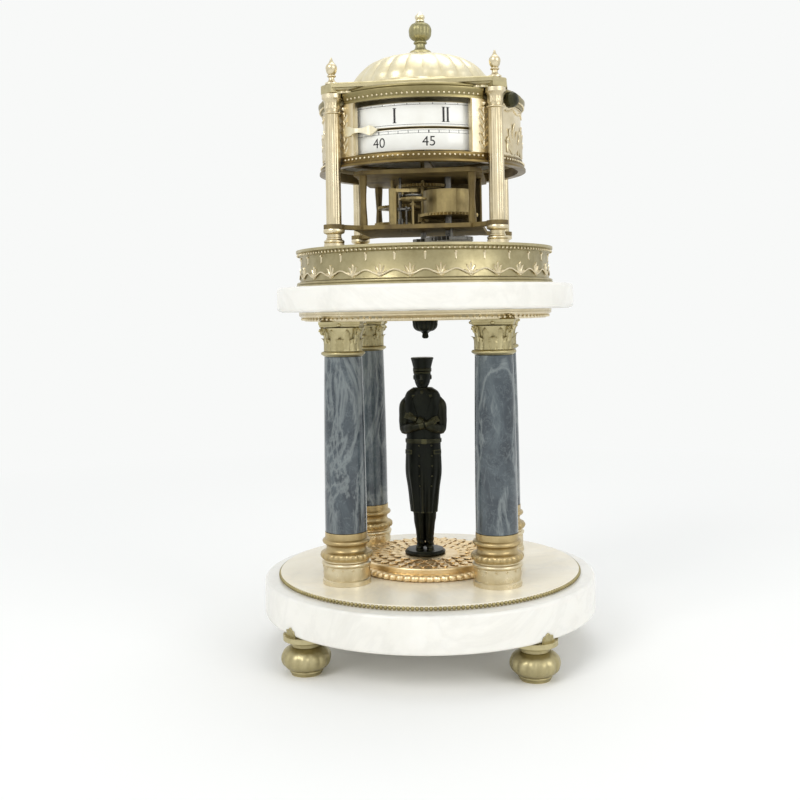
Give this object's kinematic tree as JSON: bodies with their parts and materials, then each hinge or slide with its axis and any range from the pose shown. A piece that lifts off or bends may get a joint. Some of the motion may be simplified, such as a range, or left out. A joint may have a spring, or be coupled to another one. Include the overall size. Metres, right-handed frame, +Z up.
{
  "type": "annular clock",
  "caption": "Temple-form clock: enamel hour and minute rings turn in a gilt cage over a marble disc, on stone columns round a bronze figure.",
  "frame": {"origin": "on the table under the clock's axis", "axes": "+Z up along the axis of the dial rings, the window and pointer face -Y"},
  "size_m": [0.244, 0.244, 0.4702],
  "materials": {
    "gilt": "fire-gilt, polished and matt",
    "marble": "polished",
    "blue_stone": "polished, veined",
    "bronze": "dark patina",
    "enamel": "glossy",
    "brass": "brushed, aged",
    "steel": "polished"
  },
  "bodies": {
    "case": {"foot_front_left": "gilt", "foot_front_right": "gilt", "foot_back_left": "gilt", "foot_back_right": "gilt", "base_drum": "marble", "base_step": "marble", "figure_platform": "gilt", "column_base_front_left": "gilt", "column_shaft_front_left": "blue_stone", "column_capital_front_left": "gilt", "column_base_front_right": "gilt", "column_shaft_front_right": "blue_stone", "column_capital_front_right": "gilt", "column_base_back_left": "gilt", "column_shaft_back_left": "blue_stone", "column_capital_back_left": "gilt", "column_base_back_right": "gilt", "column_shaft_back_right": "blue_stone", "column_capital_back_right": "gilt", "entablature_ring": "gilt", "entablature_disc": "marble", "attic_drum": "gilt", "cage_post_front_left": "gilt", "corner_finial_front_left": "gilt", "cage_post_front_right": "gilt", "corner_finial_front_right": "gilt", "cage_post_back_left": "gilt", "corner_finial_back_left": "gilt", "cage_post_back_right": "gilt", "corner_finial_back_right": "gilt", "cornice_plate": "gilt", "dome": "gilt", "top_finial": "bronze", "dial_housing": "gilt", "pointer": "gilt", "dust_shield": "brass", "pillar_plate": "brass", "upper_plate": "brass", "hairspring": "steel", "balance_cock": "brass", "figure": "bronze"},
    "minutes": {"centre_wheel": "brass", "minute_spider": "brass", "minute_ring": "enamel"},
    "hours": {"hour_wheel": "brass", "hour_ring": "enamel"},
    "motion": {"motion_wheel": "brass"},
    "barrel": {"barrel": "brass"},
    "barrel_arbor": {"barrel_arbor": "steel"},
    "third": {"third_wheel": "brass"},
    "fourth": {"fourth_wheel": "brass"},
    "escape": {"escape_wheel": "steel"},
    "lever": {"pallet_lever": "steel"},
    "balance": {"balance_wheel": "brass"},
    "winding": {"winding_arbor": "steel", "winding_knob": "bronze"},
    "click": {"click": "steel"},
    "setting": {"setting_knob": "bronze"}
  },
  "joints": [
    {"name": "minute_turn", "type": "hinge", "parent": "case", "child": "minutes", "pos_m": [0, 0, 0.3078], "axis": [0, 0, 1], "continuous": true},
    {"name": "hour_turn", "type": "hinge", "parent": "case", "child": "hours", "pos_m": [0, 0, 0.3792], "axis": [0, 0, 1], "continuous": true},
    {"name": "motion_turn", "type": "hinge", "parent": "case", "child": "motion", "pos_m": [0.00547, 0.01503, 0.3938], "axis": [0, 0, 1], "continuous": true},
    {"name": "barrel_turn", "type": "hinge", "parent": "case", "child": "barrel", "pos_m": [0.02007, -0.01405, 0.3148], "axis": [0, 0, 1], "continuous": true},
    {"name": "third_turn", "type": "hinge", "parent": "case", "child": "third", "pos_m": [-0.01871, 0.0108, 0.3078], "axis": [0, 0, 1], "continuous": true},
    {"name": "fourth_turn", "type": "hinge", "parent": "case", "child": "fourth", "pos_m": [-0.02195, -0.00762, 0.3078], "axis": [0, 0, 1], "continuous": true},
    {"name": "escape_turn", "type": "hinge", "parent": "case", "child": "escape", "pos_m": [-0.01453, -0.02048, 0.3078], "axis": [0, 0, 1], "continuous": true},
    {"name": "setting_turn", "type": "hinge", "parent": "case", "child": "setting", "pos_m": [0.06555, -0.04586, 0.3924], "axis": [0.8194, -0.5733, 0], "continuous": true},
    {"name": "winding_turn", "type": "hinge", "parent": "case", "child": "winding", "pos_m": [0, 0, 0.236], "axis": [0, 0, 1], "continuous": true},
    {"name": "ratchet_turn", "type": "hinge", "parent": "case", "child": "barrel_arbor", "pos_m": [0.02007, -0.01405, 0.2968], "axis": [0, 0, 1], "continuous": true},
    {"name": "click_pivot", "type": "hinge", "parent": "case", "child": "click", "pos_m": [0.02365, -0.03435, 0.2968], "axis": [0, 0, 1], "range_deg": [-25, 1]},
    {"name": "lever_swing", "type": "hinge", "parent": "case", "child": "lever", "pos_m": [-0.00948, -0.02694, 0.3198], "axis": [0, 0, 1], "range_deg": [-4, 4]},
    {"name": "balance_swing", "type": "hinge", "parent": "case", "child": "balance", "pos_m": [-0.00382, -0.03419, 0.3078], "axis": [0, 0, 1], "range_deg": [-270, 270]}
  ],
  "couplings": [
    {"joint": "hour_turn", "follows": "minute_turn", "ratio": 0.083333},
    {"joint": "motion_turn", "follows": "minute_turn", "ratio": -0.33333},
    {"joint": "barrel_turn", "follows": "minute_turn", "ratio": -0.16667},
    {"joint": "third_turn", "follows": "minute_turn", "ratio": -8},
    {"joint": "fourth_turn", "follows": "minute_turn", "ratio": 60},
    {"joint": "escape_turn", "follows": "minute_turn", "ratio": -480},
    {"joint": "setting_turn", "follows": "minute_turn", "ratio": 2.3264},
    {"joint": "ratchet_turn", "follows": "winding_turn", "ratio": -0.4375}
  ]
}
